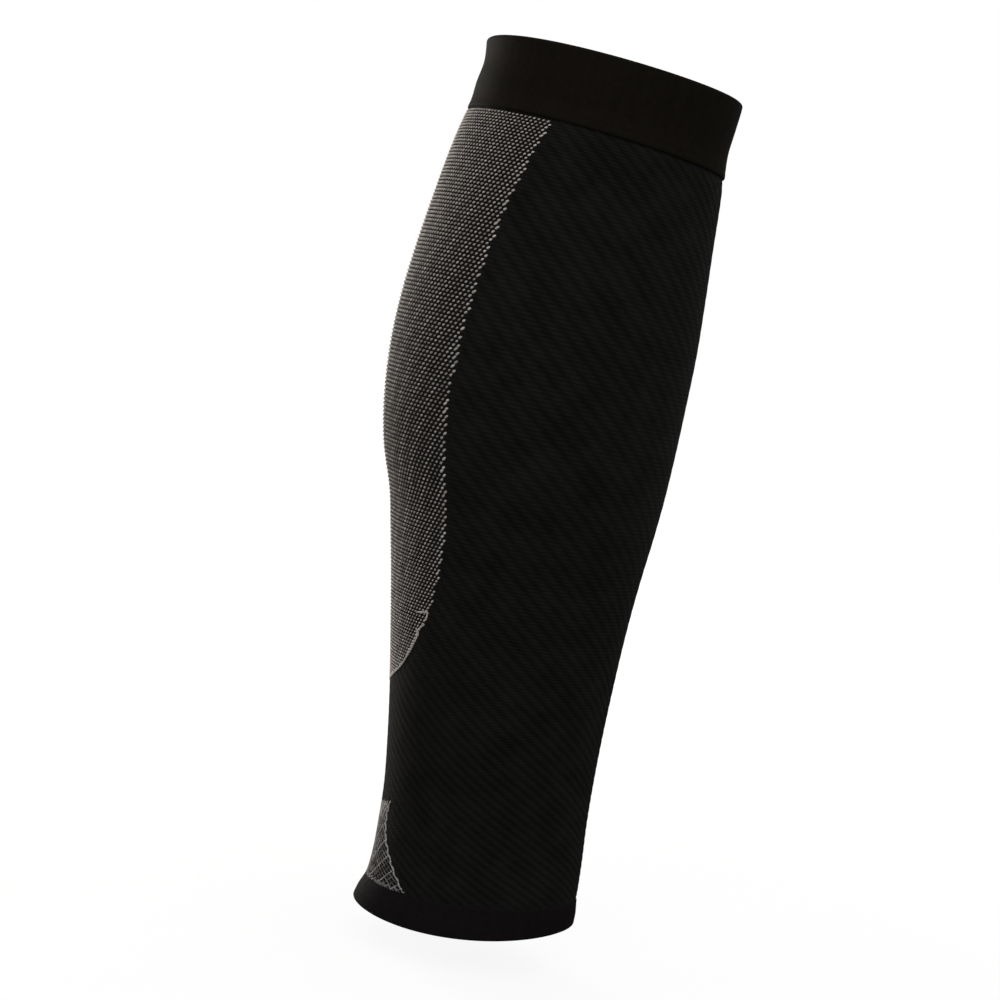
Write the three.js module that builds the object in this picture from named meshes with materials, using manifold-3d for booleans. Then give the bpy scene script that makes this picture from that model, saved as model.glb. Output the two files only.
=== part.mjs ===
// Calf compression sleeve: a footless knitted tube in the form it has on a leg, in millimetres.
// +Z runs up the leg, +X points to the shin and -X to the calf. The origin is the centre of the
// fullest section of the calf, where the leg holds the sleeve.

import * as THREE from 'three';
import Module from 'manifold-3d';

const wasm = await Module();
wasm.setup();

// Form of the leg
const sleeveLength = 341; // from rim to rim, along the leg
const calfHeight = 219; // from the lower rim up to the fullest section
const calfDepth = 120.4; // from shin to calf at the fullest section
const calfWidth = 111; // from side to side at the fullest section
const shinNarrowing = 0.1; // how much narrower each section is ahead of its middle than behind it

// Walls
const knitThickness = 1.2; // single knit of the body and its panels
const cuffThickness = 2.4; // two plies, folded over at the rim
const cuffProud = 0.7; // how far the cuff stands out from the body
const hemThickness = 1.8; // two thinner plies
const hemProud = 0.2; // how far the hem stands out from the body
const clearance = 0.3; // gap between neighbouring pieces

// Bands. A tilt raises the shin side and lowers the calf side, or the other way round if it is
// negative. A dip lowers both sides of the leg.
const cuffHeight = 28.6;
const cuffRimTilt = -2.7;
const cuffRimDip = 0.8;
const cuffLineTilt = -3.7;
const hemHeight = 10.2;
const hemRimTilt = 3.2;
const hemRimDip = 3.6;
const hemLineTilt = 3.4;
const hemLineDip = 0.7;

// Panels
const calfPanelHeight = 230; // from its lower point up to the cuff, at the back of the leg
const heelPanelHeight = 33; // from the hem up to its top edge, at the back of the leg

// Mesh fineness
const ringColumns = 64;
const tubeRows = 23;
const cuffRows = 4;
const hemRows = 3;
const foldSteps = 5;
const calfPanelColumns = 18;
const calfPanelRows = 18;
const heelPanelColumns = 10;
const heelPanelRows = 7;

// Sections of the leg. height is a share of the length below the fullest section where it is
// negative, and of the length above it where it is positive. back and front are places on X as
// shares of calfDepth, and width is a share of calfWidth.
const legSections = [
  { height: -1.017, back: -0.26, front: 0.491, width: 0.602 },
  { height: -0.995, back: -0.249, front: 0.489, width: 0.595 },
  { height: -0.967, back: -0.23, front: 0.487, width: 0.58 },
  { height: -0.931, back: -0.223, front: 0.481, width: 0.573 },
  { height: -0.867, back: -0.224, front: 0.473, width: 0.569 },
  { height: -0.798, back: -0.23, front: 0.463, width: 0.58 },
  { height: -0.716, back: -0.249, front: 0.457, width: 0.613 },
  { height: -0.616, back: -0.277, front: 0.454, width: 0.667 },
  { height: -0.515, back: -0.31, front: 0.456, width: 0.728 },
  { height: -0.41, back: -0.347, front: 0.463, width: 0.8 },
  { height: -0.319, back: -0.382, front: 0.474, width: 0.861 },
  { height: -0.259, back: -0.407, front: 0.484, width: 0.897 },
  { height: -0.182, back: -0.454, front: 0.494, width: 0.948 },
  { height: -0.104, back: -0.483, front: 0.499, width: 0.977 },
  { height: 0, back: -0.5, front: 0.5, width: 1 },
  { height: 0.166, back: -0.497, front: 0.499, width: 1 },
  { height: 0.33, back: -0.481, front: 0.491, width: 0.995 },
  { height: 0.51, back: -0.456, front: 0.479, width: 0.982 },
  { height: 0.674, back: -0.429, front: 0.469, width: 0.969 },
  { height: 0.764, back: -0.409, front: 0.46, width: 0.959 },
  { height: 0.821, back: -0.394, front: 0.457, width: 0.951 },
  { height: 0.879, back: -0.388, front: 0.462, width: 0.955 },
  { height: 0.952, back: -0.376, front: 0.47, width: 0.962 },
  { height: 1.026, back: -0.383, front: 0.476, width: 0.971 },
];

// Edge of each panel. height is a share of the panel's height, from its lower end, and
// halfAngle is how far the edge lies from the back of the leg, in degrees.
const calfPanelEdge = [
  { height: 0, halfAngle: 2 },
  { height: 0.014, halfAngle: 13.5 },
  { height: 0.037, halfAngle: 27 },
  { height: 0.065, halfAngle: 35.8 },
  { height: 0.098, halfAngle: 42.6 },
  { height: 0.145, halfAngle: 49.6 },
  { height: 0.19, halfAngle: 53.9 },
  { height: 0.25, halfAngle: 57 },
  { height: 0.35, halfAngle: 58 },
  { height: 0.48, halfAngle: 57.9 },
  { height: 0.6, halfAngle: 59.2 },
  { height: 0.73, halfAngle: 60.7 },
  { height: 0.866, halfAngle: 64.3 },
  { height: 1, halfAngle: 71.3 },
];
const heelPanelEdge = [
  { height: 0, halfAngle: 53.5 },
  { height: 0.07, halfAngle: 49.8 },
  { height: 0.2, halfAngle: 42.6 },
  { height: 0.3, halfAngle: 38 },
  { height: 0.42, halfAngle: 32.8 },
  { height: 0.58, halfAngle: 27.6 },
  { height: 0.82, halfAngle: 24.4 },
  { height: 1, halfAngle: 26 },
];

const lowerRimHeight = -calfHeight;
const upperRimHeight = sleeveLength - calfHeight;
const backOfLeg = Math.PI;

// Returns a function that reads a table's columns at any place along its first column.
function smoothTable(rows, place, columns) {
  const places = rows.map(place);
  const values = rows.flatMap((row) => columns.map((column) => row[column]));
  const interpolant = new THREE.CubicInterpolant(places, values, columns.length);
  return (at) => Array.from(interpolant.evaluate(at));
}

const legSectionAt = smoothTable(
  legSections,
  (row) => row.height * (row.height < 0 ? calfHeight : upperRimHeight),
  ['back', 'front', 'width'],
);

// Half angle of a panel, in radians, at a share of its height. Past its ends it stays as it is.
function panelEdge(rows) {
  const halfAngleAt = smoothTable(rows, (row) => row.height, ['halfAngle']);
  const { clamp, degToRad } = THREE.MathUtils;
  return (share) => degToRad(halfAngleAt(clamp(share, 0, 1))[0]);
}

const calfPanelHalfAngle = panelEdge(calfPanelEdge);
const heelPanelHalfAngle = panelEdge(heelPanelEdge);

// A point of the leg's outline. angle runs round the leg from the shin, and offset moves the
// point out from the body's outer face.
function legPoint(angle, z, offset) {
  const [back, front, width] = legSectionAt(z);
  const middle = ((back + front) / 2) * calfDepth;
  const halfDepth = ((front - back) / 2) * calfDepth + offset;
  const halfWidth = (width / 2) * calfWidth + offset;
  const narrowing = 1 - shinNarrowing * Math.cos(angle);
  return new THREE.Vector3(
    middle + halfDepth * Math.cos(angle),
    halfWidth * narrowing * Math.sin(angle),
    z,
  );
}

// Heights of the rims and of the lines where the bands begin, at any angle round the leg.
const upperRim = (angle) =>
  upperRimHeight + cuffRimTilt * Math.cos(angle) - cuffRimDip * Math.sin(angle) ** 2;
const cuffLine = (angle) => upperRimHeight - cuffHeight + cuffLineTilt * Math.cos(angle);
const hemLine = (angle) =>
  lowerRimHeight + hemHeight + hemLineTilt * Math.cos(angle) - hemLineDip * Math.sin(angle) ** 2;
const lowerRim = (angle) =>
  lowerRimHeight + hemRimTilt * Math.cos(angle) - hemRimDip * Math.sin(angle) ** 2;

const mix = THREE.MathUtils.lerp;
const steps = (count) => Array.from({ length: count + 1 }, (_, step) => step / count);

// Skins a row of loops that have the same count of points. A ring's last loop meets its first.
// Otherwise each end is closed by a strip between the two halves of its loop.
function skin(loops, isRing) {
  const count = loops[0].length;
  const index = [];
  const at = (loop, point) => (loop % loops.length) * count + (point % count);
  const addQuad = (a, b, c, d) => index.push(a, b, c, a, c, d);
  const joins = isRing ? loops.length : loops.length - 1;
  for (let loop = 0; loop < joins; loop += 1) {
    for (let point = 0; point < count; point += 1) {
      addQuad(at(loop, point), at(loop + 1, point), at(loop + 1, point + 1), at(loop, point + 1));
    }
  }
  if (!isRing) {
    const last = loops.length - 1;
    for (let point = 0; point < count / 2 - 1; point += 1) {
      const across = count - 1 - point;
      addQuad(at(0, point), at(0, point + 1), at(0, across - 1), at(0, across));
      addQuad(at(last, point), at(last, across), at(last, across - 1), at(last, point + 1));
    }
  }
  const geometry = new THREE.BufferGeometry();
  const positions = loops.flat().flatMap((point) => point.toArray());
  geometry.setAttribute('position', new THREE.Float32BufferAttribute(positions, 3));
  geometry.setIndex(index);
  return geometry;
}

// A band or tube right round the leg. wallAt gives the wall's outline at an angle, as pairs of
// offset and height, up its outer face and down its inner one.
function ring(wallAt) {
  const angles = steps(ringColumns).slice(0, -1).map((share) => share * 2 * Math.PI);
  const loops = angles.map((angle) => wallAt(angle).map(([offset, z]) => legPoint(angle, z, offset)));
  return skin(loops, true);
}

// A piece of wall at the back of the leg, symmetric about it. rows are shares of its height,
// halfAngleAt gives its half angle and heightAt the place of a row at an angle. margin widens it
// by that much, measured square to its edge.
function backPanel({ rows, columns, halfAngleAt, heightAt, outer, inner, margin = 0 }) {
  const across = steps(columns).map((share) => mix(1, -1, share));
  const nearby = 0.005;
  const loops = rows.map((share) => {
    const halfAngle = halfAngleAt(share);
    const turn = halfAngleAt(share + nearby) - halfAngleAt(share - nearby);
    const rise = heightAt(backOfLeg, share + nearby) - heightAt(backOfLeg, share - nearby);
    const arc = (offset) =>
      across.map((side) => {
        const z = heightAt(backOfLeg + side * halfAngle, share);
        const radius = legPoint(backOfLeg / 2, z, offset).y;
        const sideways = margin * Math.hypot(1, (radius * turn) / rise);
        return legPoint(backOfLeg + side * (halfAngle + sideways / radius), z, offset);
      });
    return [...arc(outer), ...arc(inner).reverse()];
  });
  return skin(loops, false);
}

function toSolid(geometry) {
  const vertProperties = new Float32Array(geometry.getAttribute('position').array);
  const triVerts = new Uint32Array(geometry.getIndex().array);
  return new wasm.Manifold(new wasm.Mesh({ numProp: 3, vertProperties, triVerts }));
}

function toGeometry(solid) {
  const { vertProperties, triVerts } = solid.getMesh();
  const geometry = new THREE.BufferGeometry();
  geometry.setAttribute('position', new THREE.BufferAttribute(vertProperties, 3));
  geometry.setIndex(new THREE.BufferAttribute(triVerts, 1));
  return geometry;
}

// Outline of a folded band's wall. foldAt and openAt are its two rims, and the fold is round.
function foldedWall({ foldAt, openAt, outer, thickness, rows }) {
  const radius = thickness / 2;
  const towardsFold = Math.sign(foldAt - openAt);
  const foldCentre = foldAt - towardsFold * radius;
  const middle = outer - radius;
  const face = (offset, shares) => shares.map((share) => [offset, mix(openAt, foldCentre, share)]);
  const fold = steps(foldSteps)
    .slice(1, -1)
    .map((share) => [
      middle + radius * Math.cos(share * Math.PI),
      foldCentre + towardsFold * radius * Math.sin(share * Math.PI),
    ]);
  const wall = [
    ...face(outer, steps(rows)),
    ...fold,
    ...face(outer - thickness, steps(rows)).reverse(),
  ];
  return towardsFold > 0 ? wall : wall.reverse();
}

function topCuff() {
  return ring((angle) =>
    foldedWall({
      foldAt: upperRim(angle),
      openAt: cuffLine(angle),
      outer: cuffProud,
      thickness: cuffThickness,
      rows: cuffRows,
    }),
  );
}

function bottomCuff() {
  return ring((angle) =>
    foldedWall({
      foldAt: lowerRim(angle),
      openAt: hemLine(angle),
      outer: hemProud,
      thickness: hemThickness,
      rows: hemRows,
    }),
  );
}

// The calf panel reaches from its point up to the cuff. Its rows crowd towards the point, where
// its edge turns fastest.
const pointCrowding = 1.6;
const calfPanelShape = {
  rows: steps(calfPanelRows).map((share) => share ** pointCrowding),
  columns: calfPanelColumns,
  halfAngleAt: calfPanelHalfAngle,
  heightAt: (angle, share) =>
    mix(cuffLine(backOfLeg) - calfPanelHeight, cuffLine(angle) - clearance, share),
  outer: 0,
  inner: -knitThickness,
};

const heelPanelShape = {
  rows: steps(heelPanelRows),
  columns: heelPanelColumns,
  halfAngleAt: heelPanelHalfAngle,
  heightAt: (angle, share) =>
    mix(hemLine(angle) + clearance, hemLine(backOfLeg) + heelPanelHeight, share),
  outer: 0,
  inner: -knitThickness,
};

// The hole in the tube that a panel sits in. It is wider than the panel by the clearance, goes
// right through the wall, and reaches past both ends of the panel.
function windowFor(shape, panelHeight, reachBelow, reachAbove) {
  const below = -reachBelow / panelHeight;
  const above = 1 + reachAbove / panelHeight;
  return toSolid(
    backPanel({
      ...shape,
      rows: [below, ...shape.rows, above],
      outer: shape.outer + knitThickness,
      inner: shape.inner - knitThickness,
      margin: clearance,
    }),
  );
}

function legTube() {
  const wall = ring((angle) => {
    const bottom = hemLine(angle) + clearance;
    const top = cuffLine(angle) - clearance;
    const face = (offset) => steps(tubeRows).map((share) => [offset, mix(bottom, top, share)]);
    return [...face(0), ...face(-knitThickness).reverse()];
  });
  const pastRim = 2 * clearance;
  const calfWindow = windowFor(calfPanelShape, calfPanelHeight, clearance, pastRim);
  const heelWindow = windowFor(heelPanelShape, heelPanelHeight, pastRim, clearance);
  return toGeometry(toSolid(wall).subtract(calfWindow).subtract(heelWindow));
}

function piece(name, geometry, colour, roughness) {
  const material = new THREE.MeshStandardMaterial({ color: colour, roughness, metalness: 0 });
  geometry.computeVertexNormals();
  const mesh = new THREE.Mesh(geometry, material);
  mesh.name = name;
  return mesh;
}

const group = new THREE.Group();
group.add(
  piece('top_cuff', topCuff(), '#1d1b19', 0.85),
  piece('leg_tube', legTube(), '#121212', 0.9),
  piece('calf_panel', backPanel(calfPanelShape), '#5c5956', 0.9),
  piece('heel_panel', backPanel(heelPanelShape), '#8a8886', 0.9),
  piece('bottom_cuff', bottomCuff(), '#181716', 0.85),
);

export default group;
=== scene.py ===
"""Looks of a calf compression sleeve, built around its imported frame. Everything is in metres."""

import math

import bpy
import numpy as np
from mathutils import Matrix


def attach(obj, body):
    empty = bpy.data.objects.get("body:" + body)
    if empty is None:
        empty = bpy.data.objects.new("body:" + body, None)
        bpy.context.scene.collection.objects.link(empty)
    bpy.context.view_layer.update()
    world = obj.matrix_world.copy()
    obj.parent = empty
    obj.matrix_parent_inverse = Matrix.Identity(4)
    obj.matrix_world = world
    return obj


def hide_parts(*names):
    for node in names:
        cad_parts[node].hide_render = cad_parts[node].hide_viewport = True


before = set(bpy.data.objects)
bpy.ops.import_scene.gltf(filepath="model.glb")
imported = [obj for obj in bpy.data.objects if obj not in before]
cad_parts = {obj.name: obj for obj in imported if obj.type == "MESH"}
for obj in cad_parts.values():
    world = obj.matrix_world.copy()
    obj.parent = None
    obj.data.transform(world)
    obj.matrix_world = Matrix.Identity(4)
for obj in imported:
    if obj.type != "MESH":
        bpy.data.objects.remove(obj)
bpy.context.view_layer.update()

MM = 0.001

# Form of the leg, as in the part's source
SLEEVE_LENGTH = 341 * MM
CALF_HEIGHT = 219 * MM
CALF_DEPTH = 120.4 * MM
CALF_WIDTH = 111 * MM
SHIN_NARROWING = 0.1
LOWER_RIM = -CALF_HEIGHT
UPPER_RIM = SLEEVE_LENGTH - CALF_HEIGHT
BACK = math.pi

# Walls and bands, as in the part's source
KNIT_THICKNESS = 1.2 * MM
CUFF_THICKNESS = 2.4 * MM
CUFF_PROUD = 0.7 * MM
HEM_THICKNESS = 1.8 * MM
HEM_PROUD = 0.2 * MM
CUFF_HEIGHT = 28.6 * MM
CUFF_RIM_TILT = -2.7 * MM
CUFF_RIM_DIP = 0.8 * MM
CUFF_LINE_TILT = -3.7 * MM
HEM_HEIGHT = 10.2 * MM
HEM_RIM_TILT = 3.2 * MM
HEM_RIM_DIP = 3.6 * MM
HEM_LINE_TILT = 3.4 * MM
HEM_LINE_DIP = 0.7 * MM
CALF_PANEL_HEIGHT = 230 * MM
HEEL_PANEL_HEIGHT = 33 * MM

# Sections of the leg. Columns: height as a share of the length below the fullest section where it
# is negative and above it where it is positive, back and front as shares of the calf's depth, and
# width as a share of the calf's width.
LEG_SECTIONS = np.array([
    (-1.017, -0.26, 0.491, 0.602),
    (-0.995, -0.249, 0.489, 0.595),
    (-0.967, -0.23, 0.487, 0.58),
    (-0.931, -0.223, 0.481, 0.573),
    (-0.867, -0.224, 0.473, 0.569),
    (-0.798, -0.23, 0.463, 0.58),
    (-0.716, -0.249, 0.457, 0.613),
    (-0.616, -0.277, 0.454, 0.667),
    (-0.515, -0.31, 0.456, 0.728),
    (-0.41, -0.347, 0.463, 0.8),
    (-0.319, -0.382, 0.474, 0.861),
    (-0.259, -0.407, 0.484, 0.897),
    (-0.182, -0.454, 0.494, 0.948),
    (-0.104, -0.483, 0.499, 0.977),
    (0, -0.5, 0.5, 1),
    (0.166, -0.497, 0.499, 1),
    (0.33, -0.481, 0.491, 0.995),
    (0.51, -0.456, 0.479, 0.982),
    (0.674, -0.429, 0.469, 0.969),
    (0.764, -0.409, 0.46, 0.959),
    (0.821, -0.394, 0.457, 0.951),
    (0.879, -0.388, 0.462, 0.955),
    (0.952, -0.376, 0.47, 0.962),
    (1.026, -0.383, 0.476, 0.971),
])

# Edges of the panels. Columns: height as a share of the panel's height, and how far the edge lies
# from the back of the leg, in degrees.
CALF_PANEL_EDGE = np.array([
    (0, 2),
    (0.014, 13.5),
    (0.037, 27),
    (0.065, 35.8),
    (0.098, 42.6),
    (0.145, 49.6),
    (0.19, 53.9),
    (0.25, 57),
    (0.35, 58),
    (0.48, 57.9),
    (0.6, 59.2),
    (0.73, 60.7),
    (0.866, 64.3),
    (1, 71.3),
])
HEEL_PANEL_EDGE = np.array([
    (0, 53.5),
    (0.07, 49.8),
    (0.2, 42.6),
    (0.3, 38),
    (0.42, 32.8),
    (0.58, 27.6),
    (0.82, 24.4),
    (1, 26),
])
# The heel panel's top edge is lowest at the back. Its heights are shares of the panel's height.
HEEL_TOP_BACK = 0.92
HEEL_TOP_SIDE = 1.03
HEEL_TOP_HALF_ANGLE = math.radians(26)

# The knit. A wale is a column of stitches, counted round the leg from the shin, and a course is a
# row of stitches, counted down from the cuff. The ribs slant: each course shifts them by a wale.
WALES = 192
RIB_WALES = 4
# The calf panel's light stitches are set wider.
PANEL_WALES = 166
# Height of one course. Columns: height on the leg, and the height of a course there.
COURSE_HEIGHTS = np.array([
    (-209, 0.8),
    (-175, 0.88),
    (-135, 1.12),
    (-105, 1.31),
    (-75, 1.47),
    (-50, 1.54),
    (-20, 1.58),
    (0, 1.6),
    (22, 1.58),
    (40, 1.56),
    (63, 1.47),
    (75, 1.38),
    (90, 1.17),
    (97, 1.1),
]) * MM
# Relief of the slanting ribs. Columns: height on the leg, and from groove to ridge there.
RIB_RELIEF = np.array([
    (-209, 0.34),
    (-150, 0.4),
    (-90, 0.28),
    (-40, 0.12),
    (10, 0.1),
    (45, 0.26),
    (94, 0.36),
]) * MM

# Camera. It stands level with the calf, looks a little down, and is turned so that the leg leans.
CAMERA_PLACE = (-5 * MM, -850 * MM, 11.2 * MM)
CAMERA_PITCH = math.radians(4.3)
CAMERA_ROLL = math.radians(11.65)
CAMERA_LENS_MM = 76.5
CAMERA_SENSOR_MM = 36

FLOOR_HEIGHT = -236 * MM
FLOOR_RADIUS = 3.0
FLOOR_GLOW = 0.88  # how white the camera sees the floor near the sleeve, where far out it is 1

# Lights. Columns: name, place, diameter, watts and colour.
LIGHTS = [
    ("key_back_left", (-0.85, 0.94, -0.05), 0.7, 20, (1, 0.96, 0.9)),
    ("fill_front", (-0.5, -1.55, 0.5), 1.2, 4.55, (1, 1, 1)),
]
WORLD_LIGHT = 0.6  # how strongly the white world lights the sleeve

# Base colours of each knit, at its darkest and at its lightest
COLOURS = {
    "body_knit": ((0.0062, 0.006, 0.0056, 1), (0.022, 0.021, 0.0198, 1)),
    "calf_ground": ((0.006, 0.0056, 0.0054, 1), (0.018, 0.0167, 0.0162, 1)),
    "calf_yarn": ((0.165, 0.147, 0.135, 1), (0.7, 0.635, 0.593, 1)),
    "heel_ground": ((0.006, 0.0057, 0.0056, 1), (0.02, 0.019, 0.019, 1)),
    "heel_yarn": ((0.085, 0.079, 0.0765, 1), (0.41, 0.385, 0.369, 1)),
    "cuff_knit": ((0.0048, 0.0039, 0.0026, 1), (0.0138, 0.0113, 0.0083, 1)),
    "hem_knit": ((0.0048, 0.0039, 0.0041, 1), (0.0126, 0.0103, 0.0108, 1)),
}

rng = np.random.default_rng(7)


def smooth_table(table):
    """A function that reads a table's columns at places along its first one. Between two rows each
    column runs along a cubic whose slope at a row is the mean of the slopes beside that row."""
    keys, values = table[:, 0], table[:, 1:]
    slopes = np.diff(values, axis=0) / np.diff(keys)[:, None]
    tangents = np.concatenate([slopes[:1], (slopes[:-1] + slopes[1:]) / 2, slopes[-1:]])

    def read(at):
        at = np.asarray(at, float)
        row = np.clip(np.searchsorted(keys, at) - 1, 0, len(keys) - 2)
        step = (keys[row + 1] - keys[row])[..., None]
        t = (at - keys[row])[..., None] / step
        start, end = values[row], values[row + 1]
        return (
            start
            + t * step * tangents[row]
            + t**2 * (3 * (end - start) - step * (2 * tangents[row] + tangents[row + 1]))
            + t**3 * (2 * (start - end) + step * (tangents[row] + tangents[row + 1]))
        )

    return read


def straight_table(table):
    """A function that reads a table of two columns along straight lines between its rows."""
    return lambda at: np.interp(at, table[:, 0], table[:, 1])


def smoothstep(low, high, at):
    t = np.clip((at - low) / (high - low), 0, 1)
    return t * t * (3 - 2 * t)


section_heights = LEG_SECTIONS[:, :1] * np.where(LEG_SECTIONS[:, :1] < 0, CALF_HEIGHT, UPPER_RIM)
leg_section = smooth_table(np.hstack([section_heights, LEG_SECTIONS[:, 1:]]))
calf_panel_edge = smooth_table(CALF_PANEL_EDGE)
heel_panel_edge = smooth_table(HEEL_PANEL_EDGE)
course_height = straight_table(COURSE_HEIGHTS)
rib_relief = straight_table(RIB_RELIEF)


def upper_rim(angle):
    return UPPER_RIM + CUFF_RIM_TILT * np.cos(angle) - CUFF_RIM_DIP * np.sin(angle) ** 2


def cuff_line(angle):
    return UPPER_RIM - CUFF_HEIGHT + CUFF_LINE_TILT * np.cos(angle)


def hem_line(angle):
    tilted = LOWER_RIM + HEM_HEIGHT + HEM_LINE_TILT * np.cos(angle)
    return tilted - HEM_LINE_DIP * np.sin(angle) ** 2


def lower_rim(angle):
    return LOWER_RIM + HEM_RIM_TILT * np.cos(angle) - HEM_RIM_DIP * np.sin(angle) ** 2


def leg_point(angle, z, offset):
    """Points of the leg's outline. offset moves them out from the body's outer face."""
    angle, z, offset = np.broadcast_arrays(angle, z, offset)
    back, front, width = np.moveaxis(leg_section(z), -1, 0)
    middle = (back + front) / 2 * CALF_DEPTH
    half_depth = (front - back) / 2 * CALF_DEPTH + offset
    half_width = width / 2 * CALF_WIDTH + offset
    x = middle + half_depth * np.cos(angle)
    y = half_width * (1 - SHIN_NARROWING * np.cos(angle)) * np.sin(angle)
    return np.stack([x, y, z], axis=-1)


def course_shares():
    """Where each course ends, as a share of the way from the cuff down to the hem."""
    heights = [UPPER_RIM - CUFF_HEIGHT]
    while heights[-1] > LOWER_RIM + HEM_HEIGHT or len(heights) % 2 == 0:
        heights.append(heights[-1] - float(course_height(heights[-1])))
    heights = np.array(heights)
    return (heights[0] - heights) / (heights[0] - heights[-1])


COURSE_SHARES = course_shares()
COURSES = len(COURSE_SHARES) - 1


def knit_angle(wale):
    return 2 * math.pi * np.asarray(wale, float) / WALES


def knit_height(wale, course):
    """Height on the leg of a place in the knit. A place past the first or last course goes on."""
    angle = knit_angle(wale)
    share = np.interp(course, np.arange(COURSES + 1), COURSE_SHARES)
    share = share + np.minimum(course, 0) * COURSE_SHARES[1]
    share = share + np.maximum(course - COURSES, 0) * (1 - COURSE_SHARES[-2])
    return cuff_line(angle) + (hem_line(angle) - cuff_line(angle)) * share


def knit_course(angle, z):
    """The course at a height on the leg."""
    share = (cuff_line(angle) - z) / (cuff_line(angle) - hem_line(angle))
    return np.interp(share, COURSE_SHARES, np.arange(COURSES + 1))


def knit_point(wale, course, offset):
    return leg_point(knit_angle(wale), knit_height(wale, course), offset)


def calf_panel_ends(angle):
    """Heights of the panel's lower and upper end, at any angle round the leg."""
    return cuff_line(BACK) - CALF_PANEL_HEIGHT, cuff_line(angle)


def heel_panel_ends(angle):
    """Heights of the panel's lower and upper end. The upper one rises towards both sides."""
    aside = np.abs(angle - BACK) / HEEL_TOP_HALF_ANGLE
    top = HEEL_PANEL_HEIGHT * (HEEL_TOP_BACK + (HEEL_TOP_SIDE - HEEL_TOP_BACK) * aside)
    return hem_line(angle), hem_line(BACK) + top


EDGE_REACH = 3  # wales: how far outside a panel's edge the distance to it is told


def inside_panel(wale, course, ends, edge):
    """How far inside a panel's edge a place in the knit lies, in wales, and negative outside."""
    low, high = ends(knit_angle(wale))
    share = (knit_height(wale, course) - low) / (high - low)
    half = edge(np.clip(share, 0, 1))[..., 0] / 360 * WALES
    inside = np.maximum(half - np.abs(np.asarray(wale) - WALES / 2), -EDGE_REACH)
    return np.where((share >= 0) & (share <= 1.001), inside, -EDGE_REACH)


def inside_calf_panel(wale, course):
    return inside_panel(wale, course, calf_panel_ends, calf_panel_edge)


def inside_heel_panel(wale, course):
    return inside_panel(wale, course, heel_panel_ends, heel_panel_edge)


def edge_path(share, side, ends, edge):
    """The places in the knit along a panel's edge. side is 1 or -1."""
    angle = BACK + side * np.radians(edge(share)[..., 0])
    low, high = ends(angle)
    return angle * WALES / (2 * math.pi), knit_course(angle, low + (high - low) * share)


# Meshes

PER_BLOCK = 2  # wales and courses along one side of a block, the least patch that a panel takes
OUTER_STEPS = 2  # columns of faces on each wale of a wall's outer face


def make_piece(name, points, faces, material, uvs=None):
    mesh = bpy.data.meshes.new(name)
    mesh.from_pydata(points.tolist(), [], faces)
    mesh.polygons.foreach_set("use_smooth", [True] * len(mesh.polygons))
    if uvs is not None:
        layer = mesh.uv_layers.new(name="knit")
        layer.data.foreach_set("uv", np.asarray(uvs, np.float32).ravel())
    mesh.materials.append(material)
    mesh.update()
    piece = bpy.data.objects.new(name, mesh)
    bpy.context.scene.collection.objects.link(piece)
    return piece


def add_attribute(piece, name, values):
    attribute = piece.data.attributes.new(name, "FLOAT", "POINT")
    attribute.data.foreach_set("value", np.asarray(values, np.float32))


def wall_faces(kept, outer_corner, inner_corner):
    """Faces of a wall on the blocks that are kept: its outer face, its inner face, and a rim
    wherever the next block isn't kept. outer_corner and inner_corner give a corner at a row and a
    column."""
    wide, high = PER_BLOCK * OUTER_STEPS, PER_BLOCK
    last_row, block_wide = kept.shape[0] - 1, kept.shape[1]
    faces = []
    fine_kept = np.repeat(np.repeat(kept, high, 0), wide, 1)
    for row, column in np.argwhere(fine_kept).tolist():
        faces.append([
            outer_corner(row, column),
            outer_corner(row + 1, column),
            outer_corner(row + 1, column + 1),
            outer_corner(row, column + 1),
        ])
    for row, column in np.argwhere(kept).tolist():
        left, top = column * wide, row * high
        across = range(left, left + wide + 1)
        down = range(top, top + high + 1)
        upper_left, upper_right = inner_corner(row, column), inner_corner(row, column + 1)
        lower_left, lower_right = inner_corner(row + 1, column), inner_corner(row + 1, column + 1)
        faces.append([upper_left, upper_right, lower_right, lower_left])
        if row == 0 or not kept[row - 1, column]:
            rim = [outer_corner(top, c) for c in across]
            faces.append(rim + [upper_right, upper_left])
        if row == last_row or not kept[row + 1, column]:
            rim = [outer_corner(top + high, c) for c in reversed(across)]
            faces.append(rim + [lower_left, lower_right])
        if not kept[row, (column - 1) % block_wide]:
            rim = [outer_corner(r, left) for r in reversed(down)]
            faces.append(rim + [upper_left, lower_left])
        if not kept[row, (column + 1) % block_wide]:
            rim = [outer_corner(r, left + wide) for r in down]
            faces.append(rim + [lower_right, upper_right])
    return faces


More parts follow.
